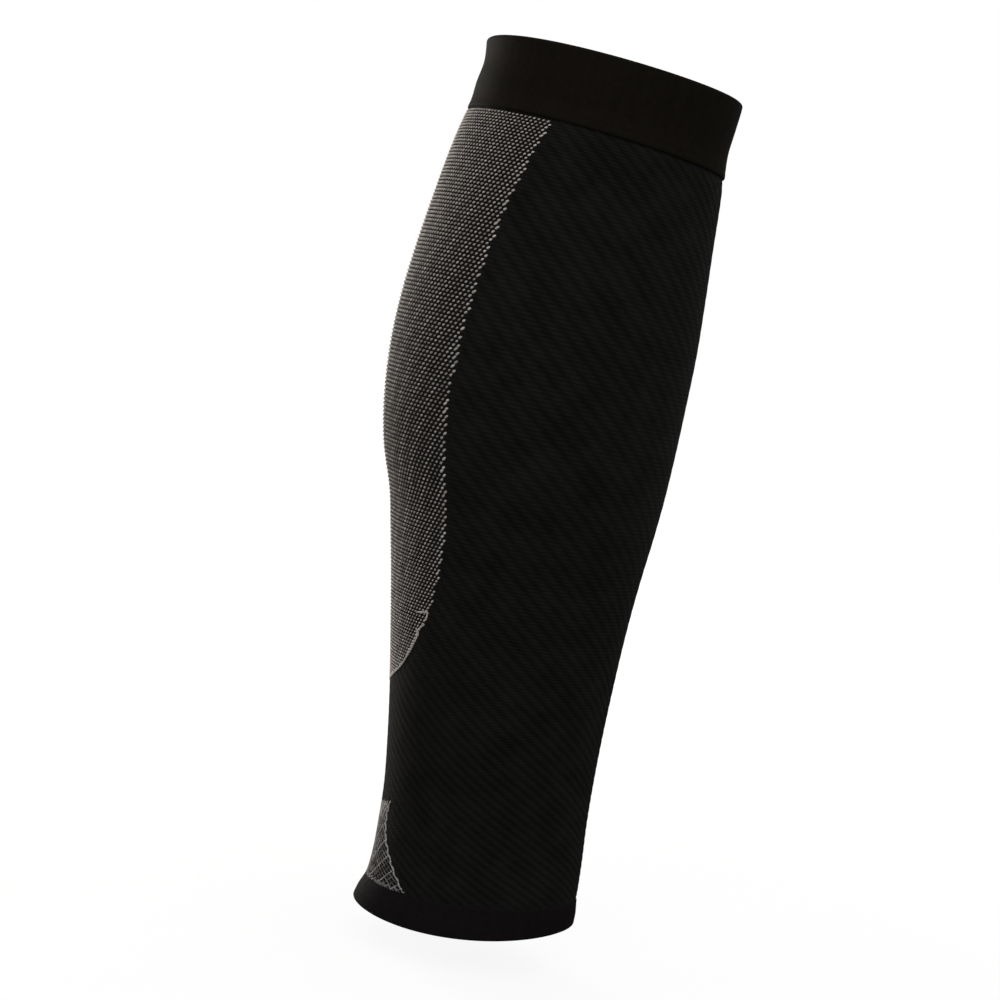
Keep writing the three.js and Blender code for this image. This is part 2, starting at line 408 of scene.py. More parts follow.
def wall_mesh(name, kept, outer_offset, inner_offset, material):
    """A closed wall that takes the blocks of the knit that are kept. outer_offset gives the offset
    of its outer face at a place in the knit. The outer face has OUTER_STEPS columns on each wale
    and a row on each course, and the inner face has one face on each block."""
    fine_wide = WALES * OUTER_STEPS
    block_high, block_wide = kept.shape
    rows, columns = np.mgrid[0 : COURSES + 1, 0:fine_wide]
    wales, courses = columns / OUTER_STEPS, rows.astype(float)
    outer = knit_point(wales, courses, outer_offset(wales, courses)).reshape(-1, 3)
    block_rows, block_columns = np.mgrid[0 : block_high + 1, 0:block_wide]
    inner = knit_point(block_columns * PER_BLOCK, block_rows * PER_BLOCK, inner_offset)
    inner = inner.reshape(-1, 3)

    def outer_corner(row, column):
        """A corner: its point, and its place in the knit."""
        return row * fine_wide + column % fine_wide, column / OUTER_STEPS, row

    def inner_corner(row, column):
        point = len(outer) + row * block_wide + column % block_wide
        return point, column * PER_BLOCK, row * PER_BLOCK

    faces = wall_faces(kept, outer_corner, inner_corner)
    corners = [corner for face in faces for corner in face]
    used, index = np.unique([corner[0] for corner in corners], return_inverse=True)
    ends = np.cumsum([len(face) for face in faces])[:-1]
    polygons = [part.tolist() for part in np.split(index, ends)]
    points = np.concatenate([outer, inner])[used]
    piece = make_piece(name, points, polygons, material, [corner[1:] for corner in corners])
    piece.data.set_sharp_from_angle(angle=math.radians(55))
    return piece


def ring_mesh(name, columns, wall_outline, material):
    """A closed band right round the leg. wall_outline gives the outline of the wall at all angles,
    as an array of offsets and one of heights, with a row for each point of the outline. The UV
    map holds wales, and the way along the outline in millimetres."""
    angle = 2 * math.pi * np.arange(columns) / columns
    offsets, heights = wall_outline(angle)
    points = leg_point(angle[None, :], heights, offsets)
    count = len(points)
    step_out = (np.roll(offsets, -1, 0) - offsets).mean(1)
    step_up = (np.roll(heights, -1, 0) - heights).mean(1)
    along = np.concatenate([[0], np.cumsum(np.hypot(step_out, step_up))]) / MM
    row, column = np.mgrid[0:count, 0:columns]
    after_row, after_column = (row + 1) % count, (column + 1) % columns
    faces = np.stack([
        row * columns + column,
        row * columns + after_column,
        after_row * columns + after_column,
        after_row * columns + column,
    ], -1).reshape(-1, 4)
    left, right = column * WALES / columns, (column + 1) * WALES / columns
    low, high = along[row], along[row + 1]
    uvs = np.stack([left, low, right, low, right, high, left, high], -1)
    return make_piece(name, points.reshape(-1, 3), faces.tolist(), material, uvs)


# A light stitch is a low closed dome on a base with six sides.
DOME_SIDES = 6
DOME_SINK = 0.25  # how far its base lies under the knit's face, as a share of its height


def dome_template():
    """Points of a dome, as shares of its long and short half axes and its height, and its faces."""
    turns = 2 * math.pi * np.arange(DOME_SIDES) / DOME_SIDES
    ring = np.stack([np.cos(turns), np.sin(turns), np.zeros(DOME_SIDES)], 1)
    base = ring + (0, 0, -DOME_SINK)
    shoulder = ring * 0.74 + (0, 0, 0.62)
    points = np.concatenate([base, shoulder, [(0, 0, 1)]])
    faces = [tuple(reversed(range(DOME_SIDES)))]
    for side in range(DOME_SIDES):
        after = (side + 1) % DOME_SIDES
        faces.append((side, after, DOME_SIDES + after, DOME_SIDES + side))
        faces.append((DOME_SIDES + side, DOME_SIDES + after, 2 * DOME_SIDES))
    return points, faces


def dome_mesh(name, places, long_axes, short_axes, heights, shades, material):
    """Domes joined into one mesh. Places and half axes are in wales and courses, with a row for
    each dome."""
    template, template_faces = dome_template()
    along, across, rise = template.T
    spots = (
        places[:, None]
        + long_axes[:, None] * along[:, None]
        + short_axes[:, None] * across[:, None]
    )
    points = knit_point(spots[..., 0], spots[..., 1], heights[:, None] * rise).reshape(-1, 3)
    faces = [
        tuple(start + corner for corner in face)
        for start in range(0, len(points), len(template))
        for face in template_faces
    ]
    piece = make_piece(name, points, faces, material)
    add_attribute(piece, "shade", np.repeat(shades, len(template)))
    return piece


THREAD_SIDES = 6


def thread_rings(wale, course, radius, height):
    """Points of a thread that lies on the knit, half sunk in it, along a path of places."""
    centre = knit_point(wale, course, 0.0)
    outward = knit_point(wale, course, 1 * MM) - centre
    outward /= np.linalg.norm(outward, axis=1)[:, None]
    along = np.gradient(centre, axis=0)
    across = np.cross(along, outward)
    across /= np.linalg.norm(across, axis=1)[:, None]
    turns = 2 * math.pi * np.arange(THREAD_SIDES) / THREAD_SIDES
    radius, height = np.broadcast_to(radius, len(wale)), np.broadcast_to(height, len(wale))
    return (
        centre[:, None]
        + across[:, None] * (radius[:, None] * np.cos(turns))[..., None]
        + outward[:, None] * (height[:, None] * np.sin(turns))[..., None]
    )


def thread_mesh(name, threads, material):
    """Threads joined into one mesh. Each is (wales, courses, radius, height, shade)."""
    points, faces, shades = [], [], []
    for wale, course, radius, height, shade in threads:
        start = sum(len(part) for part in points)
        rings = thread_rings(wale, course, radius, height)
        points.append(rings.reshape(-1, 3))
        shades.append(np.repeat(np.broadcast_to(shade, len(wale)), THREAD_SIDES))
        for ring in range(len(wale) - 1):
            for side in range(THREAD_SIDES):
                after = (side + 1) % THREAD_SIDES
                first = start + ring * THREAD_SIDES
                second = first + THREAD_SIDES
                faces.append((first + side, second + side, second + after, first + after))
        last = start + (len(wale) - 1) * THREAD_SIDES
        faces.append(tuple(start + side for side in range(THREAD_SIDES)))
        faces.append(tuple(last + side for side in reversed(range(THREAD_SIDES))))
    piece = make_piece(name, np.concatenate(points), faces, material)
    add_attribute(piece, "shade", np.concatenate(shades))
    return piece


# Materials

STITCHES_PER_WALE = 2
STITCH_LEAN = 0.9  # how far a stitch's arms lean, in courses over its own width


def new_material(name):
    material = bpy.data.materials.new(name)
    material.use_nodes = True
    tree = material.node_tree
    return material, tree, tree.nodes["Principled BSDF"]


class Nodes:
    """Builds the nodes of a material's or a world's tree."""

    def __init__(self, tree):
        self.tree = tree

    def link(self, value, socket):
        if isinstance(value, bpy.types.NodeSocket):
            self.tree.links.new(value, socket)
        else:
            socket.default_value = value

    def calc(self, operation, *values):
        node = self.tree.nodes.new("ShaderNodeMath")
        node.operation = operation
        for value, socket in zip(values, node.inputs):
            self.link(value, socket)
        return node.outputs[0]

    def mix(self, share, low, high):
        node = self.tree.nodes.new("ShaderNodeMix")
        node.data_type = "RGBA"
        self.link(share, node.inputs[0])
        self.link(low, node.inputs[6])
        self.link(high, node.inputs[7])
        return node.outputs[2]

    def ramp(self, value, low, high, to_low=0.0, to_high=1.0):
        node = self.tree.nodes.new("ShaderNodeMapRange")
        for place, item in enumerate((value, low, high, to_low, to_high)):
            self.link(item, node.inputs[place])
        return node.outputs[0]

    def noise(self, scale, detail=2.0, place=None):
        """Noise over the piece's own coordinates, or over a place that is given."""
        node = self.tree.nodes.new("ShaderNodeTexNoise")
        if place is None:
            place = self.tree.nodes.new("ShaderNodeTexCoord").outputs["Object"]
        self.tree.links.new(place, node.inputs["Vector"])
        node.inputs["Scale"].default_value = scale
        node.inputs["Detail"].default_value = detail
        return node.outputs["Fac"]

    def knit_place(self):
        """The place in the knit: wales and courses."""
        source = self.tree.nodes.new("ShaderNodeUVMap")
        source.uv_map = "knit"
        split = self.tree.nodes.new("ShaderNodeSeparateXYZ")
        self.tree.links.new(source.outputs[0], split.inputs[0])
        return split.outputs[0], split.outputs[1]

    def scaled_place(self, x, x_scale, y, y_scale):
        node = self.tree.nodes.new("ShaderNodeCombineXYZ")
        self.link(self.calc("MULTIPLY", x, x_scale), node.inputs[0])
        self.link(self.calc("MULTIPLY", y, y_scale), node.inputs[1])
        return node.outputs[0]

    def wave(self, place, period):
        """From 1 down to 0 and back over each period."""
        turns = self.calc("MULTIPLY", place, 2 * math.pi / period)
        return self.calc("MULTIPLY_ADD", self.calc("COSINE", turns), 0.5, 0.5)

    def stitches(self, wale, course):
        """Relief of knitted stitches: columns of chevrons, from 0 in the gaps to 1 on the yarn."""
        column = self.calc("FRACT", self.calc("MULTIPLY", wale, STITCHES_PER_WALE))
        aside = self.calc("ABSOLUTE", self.calc("SUBTRACT", column, 0.5))
        leaning = self.calc("MULTIPLY_ADD", aside, STITCH_LEAN, course)
        yarn = self.calc("SINE", self.calc("MULTIPLY", self.calc("FRACT", leaning), math.pi))
        gap = self.calc("POWER", self.calc("MULTIPLY", aside, 2), 3)
        return self.calc("MULTIPLY", yarn, self.calc("SUBTRACT", 1.0, gap))

    def bump(self, height, strength, distance, below=None):
        node = self.tree.nodes.new("ShaderNodeBump")
        self.link(height, node.inputs["Height"])
        node.inputs["Strength"].default_value = strength
        node.inputs["Distance"].default_value = distance
        if below is not None:
            self.tree.links.new(below, node.inputs["Normal"])
        return node.outputs[0]


def set_cloth_finish(shader, sheen=0.02, specular=0.03):
    """Dull cloth: almost no mirror shine, and the fuzz's faint light at its limbs."""
    shader.inputs["Specular IOR Level"].default_value = specular
    shader.inputs["Sheen Weight"].default_value = sheen
    shader.inputs["Sheen Roughness"].default_value = 0.45
    shader.inputs["Sheen Tint"].default_value = (0.9, 0.86, 0.78, 1)


def body_material():
    """Black knit. Each course has short raised dashes, which line up into the slanting ribs. The
    colour
    is lighter on the dashes and the yarn: partly the ribs' lighter thread, partly painted shade in
    the grooves and gaps.
    """
    material, tree, shader = new_material("body_knit")
    nodes = Nodes(tree)
    wale, course = nodes.knit_place()
    stitches = nodes.stitches(wale, course)
    strayed = nodes.calc("MULTIPLY_ADD", nodes.noise(220), 1.4, nodes.calc("SUBTRACT", wale, 0.7))
    ridge = nodes.wave(nodes.calc("SUBTRACT", strayed, course), RIB_WALES)
    ridge = nodes.calc("POWER", ridge, 0.6)
    row = nodes.wave(nodes.calc("SUBTRACT", course, 0.5), 1)
    dash = nodes.calc("MULTIPLY", ridge, nodes.calc("MULTIPLY_ADD", row, 0.75, 0.25))
    uneven = nodes.calc("SUBTRACT", nodes.noise(90), 0.5)
    # partly the ribs' lighter thread, partly painted shade: darker in the grooves and the gaps
    # between the yarn
    light = nodes.calc("MULTIPLY_ADD", dash, 0.46, nodes.calc("MULTIPLY", stitches, 0.25))
    light = nodes.calc("MULTIPLY_ADD", uneven, 0.7, light)
    tree.links.new(nodes.mix(light, *COLOURS["body_knit"]), shader.inputs["Base Color"])
    tree.links.new(nodes.ramp(stitches, 0, 1, 0.95, 0.78), shader.inputs["Roughness"])
    relief = nodes.calc("MULTIPLY_ADD", dash, 0.6, nodes.calc("MULTIPLY", stitches, 0.5))
    threads = nodes.bump(relief, 0.7, 0.3 * MM)
    fibres = nodes.bump(nodes.noise(1500, 3), 0.25, 0.1 * MM, threads)
    tree.links.new(fibres, shader.inputs["Normal"])
    set_cloth_finish(shader)
    return material


def ground_material(name):
    """The dark ground of a panel, between its light stitches."""
    material, tree, shader = new_material(name)
    nodes = Nodes(tree)
    wale, course = nodes.knit_place()
    stitches = nodes.stitches(wale, course)
    # painted shade: the colour is darker in the gaps between the yarn, where the relief is low
    tree.links.new(nodes.mix(stitches, *COLOURS[name]), shader.inputs["Base Color"])
    tree.links.new(nodes.ramp(stitches, 0, 1, 0.95, 0.8), shader.inputs["Roughness"])
    tree.links.new(nodes.bump(stitches, 0.7, 0.25 * MM), shader.inputs["Normal"])
    set_cloth_finish(shader)
    return material


def yarn_material(name):
    """Light yarn. Each stitch or thread has a shade of its own, which near the back of the leg
    includes painted light, and fine fibres across it.
    """
    material, tree, shader = new_material(name)
    nodes = Nodes(tree)
    shade = tree.nodes.new("ShaderNodeAttribute")
    shade.attribute_name = "shade"
    fibres = nodes.noise(2600, 2)
    uneven = nodes.calc("SUBTRACT", fibres, 0.5)
    share = nodes.calc("MULTIPLY_ADD", uneven, 0.35, shade.outputs["Fac"])
    tree.links.new(nodes.mix(share, *COLOURS[name]), shader.inputs["Base Color"])
    tree.links.new(nodes.ramp(fibres, 0.3, 0.7, 0.6, 0.85), shader.inputs["Roughness"])
    tree.links.new(nodes.bump(fibres, 0.4, 0.12 * MM), shader.inputs["Normal"])
    set_cloth_finish(shader)
    return material


def band_material(name, trellis_height):
    """Smooth fine double knit: fine wales and courses, faint streaks and mottling, and up to
    trellis_height millimetres from its open edge a faint trellis."""
    material, tree, shader = new_material(name)
    nodes = Nodes(tree)
    wale, rise = nodes.knit_place()
    fine = nodes.calc("ADD", nodes.wave(wale, 0.5), nodes.wave(rise, 0.55))
    lean = nodes.calc("MULTIPLY", rise, 0.6)
    crossing = nodes.calc(
        "MULTIPLY",
        nodes.wave(nodes.calc("ADD", wale, lean), 1),
        nodes.wave(nodes.calc("SUBTRACT", wale, lean), 1),
    )
    near_edge = nodes.ramp(rise, trellis_height, trellis_height - 1.5)
    trellis = nodes.calc("MULTIPLY", crossing, near_edge)
    streaks = nodes.noise(1, 2, nodes.scaled_place(wale, 0.5, rise, 0.03))
    share = nodes.calc("MULTIPLY", streaks, 0.4)
    share = nodes.calc("MULTIPLY_ADD", nodes.noise(500, 4), 0.6, share)
    # painted shade: the colour is lighter on the raised fine wales, courses and trellis and darker
    # between them, as their relief
    share = nodes.calc("MULTIPLY_ADD", fine, 0.15, share)
    share = nodes.calc("MULTIPLY_ADD", trellis, 0.3, share)
    tree.links.new(nodes.mix(share, *COLOURS[name]), shader.inputs["Base Color"])
    tree.links.new(nodes.ramp(fine, 0, 2, 0.85, 0.7), shader.inputs["Roughness"])
    relief = nodes.calc("MULTIPLY_ADD", trellis, 1.2, nodes.calc("MULTIPLY", fine, 0.5))
    tree.links.new(nodes.bump(relief, 0.5, 0.12 * MM), shader.inputs["Normal"])
    set_cloth_finish(shader, sheen=0.01, specular=0.011)
    return material


# Body and grounds of the panels

UNEVENNESS = 0.1 * MM
PUCKER = 0.12 * MM  # relief of the small gathers under the cuff
CUFF_DIP = 0.55 * MM  # how far the body's face falls back where the cuff begins
HEM_DIP = 0.35 * MM


def rib_offset(wale, course):
    """Relief of the slanting ribs, broad with narrow grooves between them. It dies out towards
    the panels, the cuff and the hem."""
    ridge = 0.5 - (0.5 - 0.5 * np.cos(2 * math.pi * (wale - course) / RIB_WALES)) ** 2
    clear = smoothstep(0, EDGE_REACH, -inside_calf_panel(wale, course))
    clear = clear * smoothstep(0, EDGE_REACH, -inside_heel_panel(wale, course))
    ends = smoothstep(0, 3, course) * smoothstep(0, 3, COURSES - course)
    return rib_relief(knit_height(wale, course)) * ridge * clear * ends


def body_offset(wale, course):
    """The body's outer face: ribs, slow unevenness, and a dip where it meets each band."""
    angle, height = knit_angle(wale), knit_height(wale, course)
    slow = UNEVENNESS * np.sin(3 * angle + 40 * height) * np.sin(5 * angle - 55 * height + 1)
    pucker = PUCKER * np.cos(2 * math.pi * wale / 3) * np.exp(-course / 4)
    under_cuff = CUFF_DIP * np.exp(-course / 1.3)
    over_hem = HEM_DIP * np.exp(-(COURSES - course) / 3)
    return rib_offset(wale, course) + slow + pucker - under_cuff - over_hem


def panel_blocks():
    """Which blocks of the knit belong to the calf panel and to the heel panel."""
    rows, columns = np.mgrid[0 : COURSES // PER_BLOCK, 0 : WALES // PER_BLOCK]
    wale, course = (columns + 0.5) * PER_BLOCK, (rows + 0.5) * PER_BLOCK
    return inside_calf_panel(wale, course) > -0.5, inside_heel_panel(wale, course) > -0.5


# Bands. Each outline starts at the band's open edge, where it meets the body.

BAND_COLUMNS = 384
INNER_REACH = 0.3 * MM  # how far the inner ply reaches past the line where a band begins
CUFF_LIP_HEIGHT = 4.5 * MM
HEM_LIP_HEIGHT = 1.2 * MM
CUFF_TRELLIS_MM = 8.5
CUFF_LIP = [  # offset from the body's face, and height over the cuff line, in millimetres
    (-0.3, -0.35),
    (0.3, -0.32),
    (0.6, -0.05),
    (0.74, 0.4),
    (0.77, 1),
    (0.76, 1.7),
    (0.7, 2.2),
    (0.68, 2.6),
    (0.72, 3.1),
    (0.74, 3.8),
]
HEM_LIP = [  # offset from the body's face, and height over the hem line, in millimetres
    (0.22, -0.7),
    (0.1, -0.25),
    (-0.25, 0.05),
    (-0.55, 0.3),
]


def cuff_outline(angle):
    """Outline of the cuff's wall: the lip, up the outer face, over the fold and down inside."""
    low, high = cuff_line(angle), upper_rim(angle)
    radius = CUFF_THICKNESS / 2
    fold = high - radius
    start = low + CUFF_LIP_HEIGHT
    outline = [(offset * MM, low + rise * MM) for offset, rise in CUFF_LIP]
    for share in np.linspace(0, 1, 16):
        swell = math.sin(share * math.pi) * (0.12 + 0.06 * np.sin(7 * angle + 3 * share)) * MM
        outline.append((CUFF_PROUD + swell, start + (fold - start) * share))
    for turn in np.linspace(0, math.pi, 9)[1:-1]:
        offset = CUFF_PROUD - radius + radius * math.cos(turn)
        outline.append((offset, fold + radius * math.sin(turn)))
    for share in np.linspace(0, 1, 10):
        outline.append((CUFF_PROUD - CUFF_THICKNESS, fold + (low - INNER_REACH - fold) * share))
    return outline_arrays(outline, angle)


def hem_outline(angle):
    """Outline of the hem's wall: down inside, over the fold, up the outer face, and the lip."""
    low, high = lower_rim(angle), hem_line(angle)
    radius = HEM_THICKNESS / 2
    fold = low + radius
    top, lip = high + INNER_REACH, high - HEM_LIP_HEIGHT
    outline = []
    for share in np.linspace(0, 1, 8):
        outline.append((HEM_PROUD - HEM_THICKNESS, top + (fold - top) * share))
    for turn in np.linspace(0, math.pi, 9)[1:-1]:
        offset = HEM_PROUD - radius - radius * math.cos(turn)
        outline.append((offset, fold - radius * math.sin(turn)))
    for share in np.linspace(0, 1, 10):
        swell = math.sin(share * math.pi) * (0.1 + 0.05 * np.sin(9 * angle + 4 * share)) * MM
        outline.append((HEM_PROUD + swell, fold + (lip - fold) * share))
    outline += [(offset * MM, high + rise * MM) for offset, rise in HEM_LIP]
    return outline_arrays(outline, angle)


def outline_arrays(outline, angle):
    """A list of (offset, height) as two arrays, with a row for each point of the outline."""
    offsets = np.array([np.broadcast_to(offset, angle.shape) for offset, _ in outline])
    heights = np.array([np.broadcast_to(height, angle.shape) for _, height in outline])
    return offsets, heights


# Light stitches of the calf panel

STITCH_LONG_AXIS = np.array([0.28, -0.365])  # half axes of a stitch, in wales and courses
STITCH_SHORT_AXIS = np.array([-0.21, -0.165])
STITCH_HEIGHT = 0.5 * MM
EDGE_WALES = 1.25  # how far the stitches of the panel's edge reach inwards
EDGE_MARGIN = 0.35  # wales that the stitches keep from the panel's edge
TIP_SHARE = 0.11  # below this share of the panel's height a thread runs along its edge
TIP_MARGIN = 0.9  # wales that the stitches keep from the edge there
DRAWN_OUT_SHARE = 0.3  # of the stitches at the edge
EDGE_LIGHT = 0.3  # how much lighter the stitches at the edge are
SHADE_SPREAD = 0.1  # how much the shade varies from stitch to stitch
STREAK_COLUMNS = 4  # columns of stitches from one light streak to the next
STREAK_LIGHT = 0.34
BETWEEN_STREAKS_DARK = 0.08
# How light the stitches are. Columns: height as a share of the panel's height, shade at the
# panel's sides, and how much lighter they are at the back of the leg, which is painted light where
# the light from behind on the left falls.
PANEL_SHADES_AND_PAINTED_LIGHT = np.array([
    (0, 0.66, 0.26),
    (0.12, 0.5, 0.24),
    (0.3, 0.36, 0.18),
    (0.44, 0.26, 0.16),
    (0.6, 0.38, 0.28),
    (0.8, 0.5, 0.32),
    (1, 0.66, 0.38),
])
panel_side_shade = straight_table(PANEL_SHADES_AND_PAINTED_LIGHT[:, :2])
painted_back_light = straight_table(PANEL_SHADES_AND_PAINTED_LIGHT[:, ::2])


def panel_share(wale, course):
    """Height of a place in the knit as a share of the calf panel's height."""
    low, high = calf_panel_ends(knit_angle(wale))
    return (knit_height(wale, course) - low) / (high - low)


def calf_stitch_places():
    """Where the light stitches lie, staggered from course to course: their wales and courses, how
    far inside the panel's edge they are, and their heights as shares of the panel's height."""
    course, column = np.mgrid[0:COURSES, 0:PANEL_WALES]
    wale = (column + 0.25 + 0.5 * (course % 2)).ravel() * WALES / PANEL_WALES
    course = (course + 0.5).ravel()
    inside = inside_calf_panel(wale, course)
    share = panel_share(wale, course)
    margin = np.where(share < TIP_SHARE, TIP_MARGIN, EDGE_MARGIN)
    kept = (inside > margin) & (course > 1)
    return wale[kept], course[kept], inside[kept], share[kept]


def calf_stitch_shades(wale, course, share, at_edge):
    """How light the stitches are, with light streaks along their columns, and painted light that
    makes them lighter at the back of the leg, where the light from behind falls.
    """
    turn = 2 * math.pi * (wale * PANEL_WALES / WALES + 0.25 * course) / STREAK_COLUMNS
    streak = STREAK_LIGHT * smoothstep(0.3, 1, np.cos(turn)) - BETWEEN_STREAKS_DARK
    # painted light: the stitches are lighter towards the back of the leg, where the light from
    # behind falls
    middle = painted_back_light(share) * (1 - smoothstep(3, 24, np.abs(wale - WALES / 2)))
    shades = panel_side_shade(share) + middle + streak + np.where(at_edge, EDGE_LIGHT, 0)
    return np.clip(shades + rng.normal(0, SHADE_SPREAD, len(wale)), 0, 1)


def calf_stitches(material):
    """The light stitches. Those along the edge are larger and lighter, and some are drawn out."""
    wale, course, inside, share = calf_stitch_places()
    count = len(wale)
    at_edge = inside < EDGE_WALES
    drawn_out = at_edge & (rng.random(count) < DRAWN_OUT_SHARE)
    size = rng.uniform(0.92, 1.06, count) * np.where(at_edge, 1.2, 1)
    outward = np.where(wale > WALES / 2, 1, -1)[:, None]
    places = np.stack([wale, course], 1)
    places += np.where(drawn_out, 1, 0)[:, None] * outward * STITCH_LONG_AXIS * 0.4
    long_axes = STITCH_LONG_AXIS * (size * np.where(drawn_out, 1.35, 1))[:, None]
    short_axes = STITCH_SHORT_AXIS * size[:, None]
    shades = calf_stitch_shades(wale, course, share, at_edge)
    heights = STITCH_HEIGHT * size
    return dome_mesh(
        "calf_panel_stitches", places, long_axes, short_axes, heights, shades, material
    )


# A step in the calf panel's edge, low down, outlined in light thread. Each line goes through
# places given as degrees from the back of the leg and shares of the panel's height.
STEP_LINES = [
    [(41.7, 0.145), (45.3, 0.148), (49.2, 0.151), (48.7, 0.143), (48.2, 0.137)],
    [(47.3, 0.129), (45, 0.122), (41.8, 0.112)],
]
EDGE_THREAD_RADIUS = 0.34 * MM
EDGE_THREAD_HEIGHT = 0.4 * MM
STEP_THREAD_RADIUS = 0.36 * MM
STEP_THREAD_HEIGHT = 0.45 * MM


def calf_edge_threads(material):
    """Light threads along the lowest part of the calf panel's edge, and the step above them."""
    threads = []
    for side in (1, -1):
        share = np.linspace(0.002, TIP_SHARE, 140)
        wale, course = edge_path(share, side, calf_panel_ends, calf_panel_edge)
        beading = 1 + 0.35 * np.sin(course * 2 * math.pi)
        radius = EDGE_THREAD_RADIUS * beading
        threads.append((wale - side * 0.6, course, radius, EDGE_THREAD_HEIGHT, 0.75))
        for line in STEP_LINES:
            corner = np.linspace(0, len(line) - 1, 6 * len(line))
            degrees, share = (np.interp(corner, range(len(line)), c) for c in zip(*line))
            angle = BACK + side * np.radians(degrees)
            low, high = calf_panel_ends(angle)
            course = knit_course(angle, low + (high - low) * share)
            wale = angle * WALES / (2 * math.pi)
            threads.append((wale, course, STEP_THREAD_RADIUS, STEP_THREAD_HEIGHT, 0.8))
    return thread_mesh("calf_panel_edge_threads", threads, material)


# Light threads of the heel panel. They cross: one set rises round the leg as the wales are
# counted and the other falls, each by so many courses a wale. Every third rising one is bright.
HEEL_RISING_SLOPE = -1.5
HEEL_FALLING_SLOPE = 0.8
HEEL_THREAD_GAP = 32 / 13  # wales from thread to thread, 78 threads to the round
HEEL_THREAD_RADIUS = 0.15 * MM
HEEL_BRIGHT_RADIUS = 0.24 * MM
HEEL_SIDE_RADIUS = 0.28 * MM
HEEL_HEM_RADIUS = 0.18 * MM
HEEL_THREAD_HEIGHT = 0.3 * MM
HEEL_BRIGHT_SHADE = 0.85
HEEL_COURSES = 45  # courses over the hem that the threads run through, past the panel's top
HEEL_EDGE_MARGIN = 0.4  # wales that the threads keep from the panel's edge


def heel_share(wale, course):
    """Height of a place in the knit as a share of the heel panel's height."""
    low, high = heel_panel_ends(knit_angle(wale))
    return (knit_height(wale, course) - low) / (high - low)


def inside_runs(wale, course):
    """The stretches of a path that lie inside the heel panel, as index arrays."""
    inside = inside_heel_panel(wale, course) > HEEL_EDGE_MARGIN
    places = np.flatnonzero(inside)
    runs = np.split(places, np.flatnonzero(np.diff(places) > 1) + 1)
    return [run for run in runs if len(run) > 3]


def lattice_thread(wale, course, radius, shade, turn):
    """One stretch of a thread of the lattice. At the panel's top it swells into a light knot, near
    the back of the leg it is painted lighter, a painted highlight where the threads catch the light
    from behind, and near the hem it is a little darker. turn sets where its beads and its lights
    fall."""
    share = heel_share(wale, course)
    knot = smoothstep(0.74, 0.86, share)
    beading = 1 + (0.2 + 0.5 * knot) * np.sin(course * math.pi + turn)
    thickness = (radius + (HEEL_BRIGHT_RADIUS - radius) * knot) * beading
    # painted highlight: lighter near the back of the leg, where the threads catch the light from
    # behind
    middle = 0.28 * (1 - smoothstep(4, 14, np.abs(wale - WALES / 2)))
    lit = shade + middle + (0.6 - shade) * knot
    lit = lit - 0.15 * (1 - smoothstep(0.1, 0.4, share))
    lit = lit + 0.25 * np.sin(course * 2 * math.pi / 5 + turn)
    return wale, course, thickness, HEEL_THREAD_HEIGHT, lit


def heel_lattice_threads():
    """The crossing threads, each cut to the stretches that lie inside the panel."""
    threads = []
    course = np.arange(COURSES - HEEL_COURSES, COURSES, 0.5)
    for slope in (HEEL_RISING_SLOPE, HEEL_FALLING_SLOPE):
        for count in range(round(WALES / HEEL_THREAD_GAP)):
            wale = count * HEEL_THREAD_GAP + (course - COURSES) / slope
            bright = slope == HEEL_RISING_SLOPE and count % 3 == 0
            radius = HEEL_BRIGHT_RADIUS if bright else HEEL_THREAD_RADIUS * rng.uniform(0.8, 1.2)
            shade = HEEL_BRIGHT_SHADE if bright else rng.uniform(0.1, 0.4)
            turn = rng.uniform(0, 2 * math.pi)
            for run in inside_runs(wale, course):
                threads.append(lattice_thread(wale[run], course[run], radius, shade, turn))
    return threads


def heel_border_threads():
    """A knotted thread along each side, and one that goes to and fro along the hem."""
    threads = []
    for side in (1, -1):
        share = np.linspace(0.05, 0.995, 260)
        wale, course = edge_path(share, side, heel_panel_ends, heel_panel_edge)
        weave = 0.3 * np.sin(course * 2 * math.pi / 4.2)
        knots = 1 + 0.5 * np.sin(course * 2 * math.pi / 2.2)
        radius = HEEL_SIDE_RADIUS * knots
        threads.append((wale - side * (0.6 + weave), course, radius, EDGE_THREAD_HEIGHT, 0.95))
    half = HEEL_PANEL_EDGE[0, 1] / 360 * WALES - 0.6
    wale = np.linspace(WALES / 2 - half, WALES / 2 + half, 300)
    swing = np.abs((wale / 2.6) % 1 * 2 - 1)
    course = COURSES - 0.9 - 1.6 * swing
    threads.append((wale, course, HEEL_HEM_RADIUS, HEEL_THREAD_HEIGHT, 0.55))
    return threads


def heel_threads(material):
    threads = heel_lattice_threads() + heel_border_threads()
    return thread_mesh("heel_panel_threads", threads, material)


# Camera, light and floor


def build_camera():
    data = bpy.data.cameras.new("camera")
    data.sensor_width = CAMERA_SENSOR_MM
    data.lens = CAMERA_LENS_MM
    data.clip_start, data.clip_end = 0.05, 20
    forward = np.array([0, math.cos(CAMERA_PITCH), -math.sin(CAMERA_PITCH)])
    level_up = np.array([0, math.sin(CAMERA_PITCH), math.cos(CAMERA_PITCH)])
    level_right = np.array([1.0, 0, 0])
    right = math.cos(CAMERA_ROLL) * level_right + math.sin(CAMERA_ROLL) * level_up
    up = math.cos(CAMERA_ROLL) * level_up - math.sin(CAMERA_ROLL) * level_right
    camera = bpy.data.objects.new("camera", data)
    camera.matrix_world = placed(right, up, -forward, CAMERA_PLACE)
    bpy.context.scene.collection.objects.link(camera)
    bpy.context.scene.camera = camera


def placed(x_axis, y_axis, z_axis, place):
    matrix = np.eye(4)
    matrix[:3] = np.stack([x_axis, y_axis, z_axis, place], 1)
    return Matrix(matrix.tolist())


